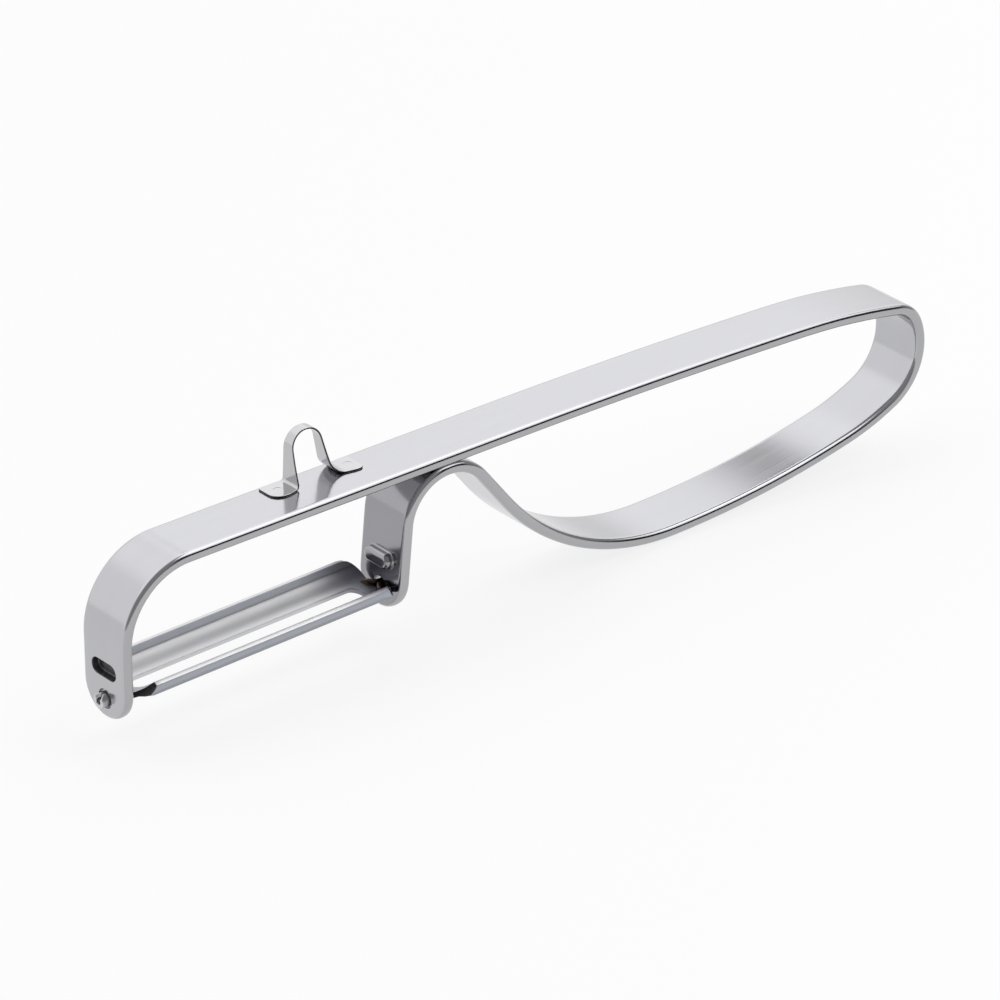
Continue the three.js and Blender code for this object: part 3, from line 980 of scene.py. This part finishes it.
@dataclass
class EyeRemover:
    """The strap loop on top: two feet, two legs and an arch."""

    start: float = 37.25
    sheet: float = 0.36
    height: float = 10.15
    arch_radius: float = 3.2
    front_lean: float = 0.5
    rear_lean: float = 11.8
    front_fold: float = 0.65
    rear_fold: float = 3.2
    feet: Pair = (4.8, 3.4)
    foot_width: float = 5.2
    foot_taper: float = 1.2
    weld_radius: float = 0.8
    weld_depth: float = 0.05
    arch_width: float = 2.05
    far_share: float = 0.19
    far_edge: float = 4.95
    front_corner: float = 2.2
    rear_corner: float = 0.9
    far_corner: float = 0.5
    end_clear: float = 1
    edge: float = 0.12

    def path(self) -> Pen:
        """Draws the strap's middle line from the front foot to the rear one.

        Returns:
            The pen at the rear foot's end.
        """
        origin = design_origin()
        front, rear = 90 - self.front_lean, 90 - self.rear_lean
        pen = Pen(origin.x + self.start, origin.y + self.sheet / 2, 0)
        pen.line(self.feet[0]).arc(self.front_fold, front).line(self.leg(front, self.front_fold))
        pen.arc(self.arch_radius, -front - rear).line(self.leg(rear, self.rear_fold))
        return pen.arc(self.rear_fold, rear).line(self.feet[1])

    def leg(self, angle: float, fold: float) -> float:
        """Gives the straight length of a leg that leaves its foot at an angle."""
        bends = (fold + self.arch_radius) * (1 - math.cos(math.radians(angle)))
        return (self.height - self.sheet - bends) / math.sin(math.radians(angle))

    def build(self, tree: bpy.types.NodeTree) -> bpy.types.Object:
        """Makes the loop and settles it on the frame body.

        Args:
            tree: The bending tree.

        Returns:
            The loop.
        """
        pen = self.path()
        lengths = pen.lengths()
        total = lengths[-1]
        apex = max(range(len(lengths)), key=lambda k: pen.stations[k].y)
        near, far = [], []
        for k, u in enumerate(lengths):
            start = self.feet[0] if k < apex else total - self.feet[1]
            lead = math.copysign(self.foot_taper, apex - k - 0.5)
            share = (u - start + lead) / (lengths[apex] - start + lead)
            climb = math.sin(math.pi / 2 * min(1.0, max(0.0, share)))
            rest = climb * (self.foot_width - self.arch_width)
            near.append(self.far_edge - self.foot_width + (1 - self.far_share) * rest)
            far.append(self.far_edge - self.far_share * rest)
        outline = filleted(
            [(0, near[0], self.front_corner), (total, near[-1], self.rear_corner)]
            + [(total, far[-1], self.far_corner), (0, far[0], self.far_corner)],
            FINE_STEP,
        )
        shaped = [self.drawn_in(point, lengths, near, far) for point in outline]
        middle = self.far_edge - self.foot_width / 2
        welds = [Vector((self.feet[0] / 2, middle)), Vector((total - self.feet[1] / 2, middle))]
        size = self.weld_radius
        spots = [obround(weld, size, size) for weld in welds]
        dents = [Press(spot, self.weld_depth, self.weld_depth / 2, 0, False) for spot in spots]
        middles = [Vector((u, (low + high) / 2)) for u, low, high in zip(lengths, near, far)]
        grid = [
            point
            for point in middles
            if self.end_clear < point.x < total - self.end_clear
            and all((point - weld).length > 2 * size for weld in welds)
        ]
        blank = Blank(shaped, self.sheet, self.edge, presses=dents, grid=grid)
        piece = bend("eye_remover", blank.mesh("strap_blank"), pen.stations, LOOP_FINISH.material(), tree)
        piece.data.materials.append(PAINTED_DARK_EDGE_FINISH.material())
        # The strap's edges take the dark finish, a painted dark reflection
        for face in piece.data.polygons:
            depth = blank.middle(face).z
            face.material_index = 1 if abs(depth) < self.sheet / 2 - self.edge / 2 else 0
        return settle(piece, "eye_remover_loop", Body.FRAME)

    @staticmethod
    def drawn_in(point: Vector, lengths: list[float], near: list[float], far: list[float]) -> Vector:
        """Moves a point of the straight outline to the drawn-in strap's edges.

        Args:
            point: The point.
            lengths: How far along the strap the stations lie.
            near: Where the near edge lies at each station.
            far: Where the far edge lies.

        Returns:
            The moved point.
        """
        k = max(1, min(len(lengths) - 1, bisect_left(lengths, point.x)))
        t = (point.x - lengths[k - 1]) / (lengths[k] - lengths[k - 1])
        low = near[k - 1] + t * (near[k] - near[k - 1])
        high = far[k - 1] + t * (far[k] - far[k - 1])
        share = (point.y - near[0]) / (far[0] - near[0])
        return Vector((point.x, low + share * (high - low)))


@dataclass
class SwivelBlade:
    """The blade: a trough with a slot, a back rail, a ground front rail and two rolled tongues."""

    sheet: float = 1
    trough_radius: float = 6.7
    trough_half_width: float = 5.23
    trough_floor: float = 0.4
    rim_height: float = 1.3
    rim_angle: float = 80
    front_rim_angle: float = 62
    front_rim: float = 0.35
    bevel_width: float = 1.05
    bevel_angle: float = 30
    bevel_face: Pair = (0.9, 2.15)
    heel_width: float = 1.2
    slot_width: float = 3.7
    slot_margin: float = 3
    slot_edge: float = 0.16
    end_float: float = 0.7
    corner: float = 3.6
    front_cut: Pair = (4.5, 3.6)
    rear_cut: Pair = (1.7, 1.6)
    cut_fillet: float = 0.6
    cut_share: float = 1.036
    edge: float = 0.14
    tongue_sheet: float = 0.75
    tongue_seam: float = 0.5
    tongue_clearance: float = 0.45
    tongue_proud: float = 1.4
    tongue_lead: float = 0.15
    tongue_taper: Pair = (0.7, 0.9)
    tongue_fillet: float = 0.32
    strip: FrameStrip = field(default_factory=FrameStrip)

    def __post_init__(self) -> None:
        """Works out the span between the pins and the section's pairs of points."""
        self.span = math.hypot(self.strip.arm_gap, self.strip.rear_pin_rise)
        self.length = self.span - 2 * self.end_float
        self.inner, self.outer, self.across = self.section()

    def section(self) -> tuple[Points, Points, list[float]]:
        """Pairs the points of the trough's inside and outside, from the cutting edge to the back rail.

        Returns:
            Inside points, outside points, and how far along the inside each pair lies.
        """
        sweep = math.asin(self.trough_half_width / self.trough_radius)
        middle = Vector((0, self.trough_floor + self.trough_radius))
        rim = math.radians(self.rim_angle)
        up = self.rim_height * Vector((math.cos(rim), math.sin(rim)))

        def on_arc(radius: float, angle: float) -> Vector:
            """Gives a point of the trough's round."""
            return middle + radius * Vector((math.sin(angle), -math.cos(angle)))

        inner_end = on_arc(self.trough_radius, -sweep)
        ground = math.radians(self.bevel_angle)
        front = math.radians(self.front_rim_angle)
        cutting = inner_end + self.front_rim * Vector((-math.cos(front), math.sin(front)))
        bevel = cutting - self.bevel_width * Vector((math.cos(ground), math.sin(ground)))
        heel = bevel + Vector((self.bevel_face[0], -self.bevel_face[1]))
        outer_radius = self.trough_radius + self.sheet
        heel_angle = math.asin((heel.x + self.heel_width) / outer_radius)
        middle_angle = (heel_angle - sweep) / 2
        inner = [cutting, inner_end, on_arc(self.trough_radius, middle_angle)]
        outer = [bevel, bevel.lerp(heel, 0.5), heel]
        for i in range(SECTION_STEPS + 1):
            angle = heel_angle + (sweep - heel_angle) * i / SECTION_STEPS
            inner.append(on_arc(self.trough_radius, angle))
            outer.append(on_arc(outer_radius, angle))
        back = inner[-1] + up
        inner.append(back)
        outer.append(back + self.sheet * Vector((math.sin(rim), -math.cos(rim))))
        steps = ((after - before).length for before, after in zip(inner, inner[1:]))
        return inner, outer, list(accumulate(steps, initial=0.0))

    def at_width(self, u: float) -> tuple[Vector, Vector]:
        """Looks up the section.

        Args:
            u: How far from the cutting edge, along the inside.

        Returns:
            The inside and the outside point.
        """
        k = max(1, min(len(self.across) - 1, bisect_left(self.across, u)))
        t = (u - self.across[k - 1]) / (self.across[k] - self.across[k - 1])
        return self.inner[k - 1].lerp(self.inner[k], t), self.outer[k - 1].lerp(self.outer[k], t)

    def formed(self, point: Vector) -> Vector:
        """Takes a point of the flat blade to the trough."""
        here = Vector.lerp(*self.at_width(point.x), 0.5 - point.z / self.sheet)
        return self.placed(Vector((self.end_float + point.y, *here)))

    def placed(self, point: Vector) -> Vector:
        """Takes a point of the blade's own frame to the part's.

        Args:
            point: The point, with X along the pins from the front one.

        Returns:
            Its place in the part's frame.
        """
        joint = frame["joints"][0]
        along = Vector(joint["axis"]).normalized()
        side = Vector((0, 1, 0))
        up = along.cross(side)
        middle = Vector(joint["pos_m"]) / MM
        return middle + along * (point.x - self.span / 2) + side * point.y + up * point.z

    def trough(self) -> bpy.types.Mesh:
        """Makes the trough from its flat blank.

        Returns:
            The trough's mesh.
        """
        width, length = self.across[-1], self.length
        outline = filleted(
            [
                (0.0, self.front_cut[1], self.cut_fillet),
                (self.front_cut[0], 0.0, self.cut_fillet),
                (width, 0.0, self.corner),
                (width, length, self.corner),
                (self.rear_cut[0], length, self.cut_fillet),
                (0.0, length - self.rear_cut[1], self.cut_fillet),
            ],
            SIDE_STEP,
        )
        sweep = math.asin(self.trough_half_width / self.trough_radius)
        centre = Vector((self.across[-2] - sweep * self.trough_radius, length / 2))
        slot = obround(centre, self.slot_width / 2, length / 2 - self.slot_margin, SIDE_STEP)
        grid = self.grid_points(outline, slot)
        blank = Blank(outline, self.sheet, self.edge, [slot], self.slot_edge, grid=grid)
        mesh = blank.mesh("trough", self.formed)
        heel, rim = self.across[2], self.across[-2]
        for face in mesh.polygons:
            middle = blank.middle(face)
            on_bevel = middle.x < heel and middle.z < 0
            on_rim = middle.x > rim and middle.z > 0
            on_cut = middle.x / self.front_cut[0] + middle.y / self.front_cut[1] < self.cut_share
            finish = Facet.RIM if on_rim else Facet.GROUND if on_bevel else Facet.SATIN
            # The front cut takes the dark finish, painted shade beside the front arm
            face.material_index = Facet.PAINTED_DARK.value if on_cut else finish.value
        return mesh

    def grid_points(self, outline: Points, slot: Points) -> Points:
        """Spreads points that let the flat blank follow the section.

        Args:
            outline: The blank's outline.
            slot: The slot's outline.

        Returns:
            The points that lie clear of both.
        """
        rim = self.edge + 2 * FLAT_RIM
        lines = [self.across[2], *self.across[3:-1:2]]
        steps = [self.length * i / TROUGH_ROWS for i in range(1, TROUGH_ROWS)]
        points = [Vector((u, v)) for u in lines for v in steps]
        return [p for p in points if depth_inside(p, outline) > rim and depth_inside(p, slot) < -rim]

    def tongue(self, finish: Facet) -> bpy.types.Mesh:
        """Makes a rolled tongue, which opens flat into the trough's floor.

        Args:
            finish: The tinted tongue is the rear one.

        Returns:
            The tongue's mesh.
        """
        rear = finish is Facet.TINTED
        outer = self.strip.bore / 2 - self.tongue_clearance
        middle = outer - self.tongue_sheet / 2
        gap = 2 * math.asin(self.tongue_seam / 2 / outer)
        around = (2 * math.pi - gap) * middle
        root = self.slot_margin - self.tongue_sheet
        length = self.end_float + self.strip.thickness + self.tongue_proud + root
        aside, back = self.tongue_taper
        corners = [(aside, 0), (around - aside, 0), (around, back)]
        corners += [(around, length), (0, length), (0, back)]
        outline = filleted([(u, v, self.tongue_fillet) for u, v in corners], FINE_STEP)
        columns, rows = TONGUE_CORNER
        grid = [
            Vector((around * i / TONGUE_COLUMNS, length * k / TONGUE_ROWS))
            for i in range(2, TONGUE_COLUMNS - 1)
            for k in range(1, TONGUE_ROWS)
            if k >= rows or columns <= i <= TONGUE_COLUMNS - columns
        ]
        floor = self.trough_floor - self.sheet / 2
        flattest = self.trough_radius + self.sheet / 2

        def rolled(point: Vector) -> Vector:
            """Rolls a point of the flat tongue, less and less towards its root.

            Args:
                point: The point.

            Returns:
                Its place in the part's frame.
            """
            share = min(1.0, max(0.0, (point.y - length + root) / root + self.tongue_lead))
            share *= share * (3 - 2 * share)
            roll = 1 / ((1 - share) / middle + share / flattest)
            angle = (point.x - around / 2) / roll
            lift = roll - middle + share * (middle + floor)
            x = point.y - (length - root) + self.end_float
            x = self.span - x if rear else x
            y = (roll + point.z) * math.sin(angle)
            return self.placed(Vector((x, y, lift - (roll + point.z) * math.cos(angle))))

        mesh = Blank(outline, self.tongue_sheet, self.edge, grid=grid).mesh("tongue", rolled)
        for face in mesh.polygons:
            face.material_index = finish.value
        return mesh

    def build(self) -> bpy.types.Object:
        """Makes the blade with its tongues and settles it on the blade body.

        Returns:
            The blade.
        """
        whole = bmesh.new()
        for mesh in (self.trough(), self.tongue(Facet.SATIN), self.tongue(Facet.TINTED)):
            whole.from_mesh(mesh)
            bpy.data.meshes.remove(mesh)
        bmesh.ops.recalc_face_normals(whole, faces=whole.faces)
        mesh = bpy.data.meshes.new("trough_blade")
        whole.to_mesh(mesh)
        whole.free()
        mesh.shade_smooth()
        for finish in (BLADE_FINISH, GROUND_FINISH, TINT_FINISH, RIM_FINISH, PAINTED_DARK_EDGE_FINISH):
            mesh.materials.append(finish.material())
        return settle(link("trough_blade", mesh), "swivel_blade", Body.BLADE)


# The studio; each ramp of its room has what it is measured on, its start and end, and its values there
ROOM_RAMPS = {
    "dark": ("Z", 0.6, 0.85, 0.02, 0.9),
    "flag_start": ("X", 0.24, 0.4, 0.0, 1.0),
    "flag_end": ("X", 0.72, 0.86, 1.0, 0.0),
    "high": ("Z", 0.56, 0.7, 1.45, 1.75),
    "aside": ("X", 0.2, 0.45, 0.0, 1.0),
    "step": ("Z", 0.05, 0.45, -0.2, 0.35),
    "gap": ("To gap", 0.9974, 0.9991, 1.0, 0.0),
    "share": ("Y", -0.15, 0.25, 0.0, 1.0),
}


@dataclass
class Studio:
    """A pale floor, soft light and the camera at the photograph's angle."""

    azimuth: float = -38.89
    elevation: float = 27.55
    roll: float = 0.47
    focal_pixels: float = 7156
    frame_pixels: float = 1000
    sensor: float = 36
    distance: float = 1205.8
    target: Triple = (56.13, -37.94, 8.92)
    floor_radius: float = 4000
    floor_colour: str = "F4F4F4"
    white_share: float = 0.8
    near_glow: float = 0.45
    gap_way: Triple = (0.448, 0.635, 0.629)
    clip: Pair = (0.05, 50)
    lamp_place: Triple = (668, -430, 916)
    lamp_aim: Triple = (0, 0, 20)
    lamp_size: Pair = (900, 780)
    lamp_glow: float = 1.75

    def build(self) -> None:
        """Makes the camera, the floor, the lamp and the world."""
        self.camera()
        self.floor()
        self.world()
        self.softbox()

    def camera(self) -> None:
        """Places the camera as the photograph's edges give it."""
        azimuth, elevation, roll = (math.radians(a) for a in (self.azimuth, self.elevation, self.roll))
        level = math.cos(elevation)
        back = Vector((math.sin(azimuth) * level, -math.cos(azimuth) * level, math.sin(elevation)))
        right = (-back).cross(Vector((0, 0, 1))).normalized()
        down = (-back).cross(right)
        across = right * math.cos(roll) + down * math.sin(roll)
        below = down * math.cos(roll) - right * math.sin(roll)
        lens = bpy.data.cameras.new("camera")
        lens.sensor_width = self.sensor
        lens.lens = self.focal_pixels * self.sensor / self.frame_pixels
        lens.clip_start, lens.clip_end = self.clip
        made = link("camera", lens)
        turned = Matrix((across, -below, back)).transposed().to_4x4()
        origin = design_origin()
        target = Vector(self.target) + Vector((origin.x, 0, origin.y))
        place = (target + back * self.distance) * MM
        made.matrix_world = Matrix.Translation(place) @ turned
        bpy.context.scene.camera = made

    def floor(self) -> None:
        """Lays the pale floor, which stays near white to the camera and keeps a soft shadow."""
        disc = bmesh.new()
        radius = self.floor_radius * MM
        bmesh.ops.create_circle(disc, cap_ends=True, segments=FLOOR_SEGMENTS, radius=radius)
        mesh = bpy.data.meshes.new("floor")
        disc.to_mesh(mesh)
        disc.free()
        made = link("floor", mesh)
        paint = bpy.data.materials.new("matt_white_floor")
        paint.use_nodes = True
        tree = paint.node_tree
        tree.nodes.clear()
        add = partial(add_node, tree)
        rays = add("ShaderNodeLightPath")
        seen = rays.outputs["Is Camera Ray"]
        for name in ("Is Glossy Ray", "Is Transmission Ray"):
            either = {0: seen, 1: rays.outputs[name]}
            seen = add("ShaderNodeMath", {"operation": "MAXIMUM"}, either).outputs[0]
        share = add("ShaderNodeMath", MULTIPLY, {0: seen, 1: self.white_share})
        matt = add("ShaderNodeBsdfDiffuse", inputs={"Color": linear(self.floor_colour)})
        white = add("ShaderNodeEmission", inputs={"Strength": 1.0})
        ends = {0: share.outputs[0], 1: matt.outputs[0], 2: white.outputs[0]}
        mixed = add("ShaderNodeMixShader", inputs=ends)
        add("ShaderNodeOutputMaterial", inputs={"Surface": mixed.outputs[0]})
        mesh.materials.append(paint)

    def world(self) -> None:
        """Makes the room: pale, with a dark flag to the camera's right that draws a line along the edges.

        The far side brightens upwards, and a gap in it draws the dark band on the palm.
        """
        room = bpy.data.worlds.new("studio_room")
        room.use_nodes = True
        tree = room.node_tree
        tree.nodes.clear()
        add = partial(add_node, tree)
        way = add("ShaderNodeTexCoord").outputs["Generated"]
        measures = dict(add("ShaderNodeSeparateXYZ", inputs={0: way}).outputs.items())
        to_gap = add("ShaderNodeVectorMath", {"operation": "DOT_PRODUCT"}, {0: way, 1: self.gap_way})
        measures["To gap"] = to_gap.outputs["Value"]
        ramps = {}
        for name, (measure, *ends) in ROOM_RAMPS.items():
            inputs = {0: measures[measure], **dict(enumerate(ends, 1))}
            ramps[name] = add("ShaderNodeMapRange", SMOOTH, inputs).outputs[0]
        flag = add("ShaderNodeMath", MULTIPLY, {0: ramps["flag_start"], 1: ramps["flag_end"]})
        near = add("ShaderNodeMix", inputs={0: flag.outputs[0], 2: self.near_glow, 3: ramps["dark"]})
        steps = {0: ramps["aside"], 1: ramps["step"], 2: ramps["high"]}
        far = add("ShaderNodeMath", {"operation": "MULTIPLY_ADD"}, steps)
        broken = add("ShaderNodeMath", MULTIPLY, {0: far.outputs[0], 1: ramps["gap"]})
        sides = {0: ramps["share"], 2: near.outputs[0], 3: broken.outputs[0]}
        glow = add("ShaderNodeMix", inputs=sides)
        light = add("ShaderNodeBackground", inputs={"Strength": glow.outputs[0]})
        add("ShaderNodeOutputWorld", inputs={"Surface": light.outputs[0]})
        bpy.context.scene.world = room

    def softbox(self) -> None:
        """Hangs the soft rectangular lamp; its glow is how bright its face is, where 1 is white."""
        lamp = bpy.data.lights.new("side_softbox", "AREA")
        lamp.shape = "RECTANGLE"
        lamp.size, lamp.size_y = (side * MM for side in self.lamp_size)
        lamp.energy = self.lamp_glow * math.pi * lamp.size * lamp.size_y
        made = link("side_softbox", lamp)
        made.location = Vector(self.lamp_place) * MM
        made.rotation_mode = "QUATERNION"
        aim = Vector(self.lamp_aim) - Vector(self.lamp_place)
        made.rotation_quaternion = aim.to_track_quat("-Z", "Y")
        made.visible_camera = False


def main() -> None:
    """Builds the pieces and the studio in order."""
    logging.basicConfig(level=logging.INFO, format="%(name)s: %(message)s")
    bpy.context.scene.view_settings.view_transform = "Standard"
    tree = bending_tree()
    FrameStrip().build(tree)
    EyeRemover().build(tree)
    SwivelBlade().build()
    Studio().build()


if __name__ == "__main__":
    main()
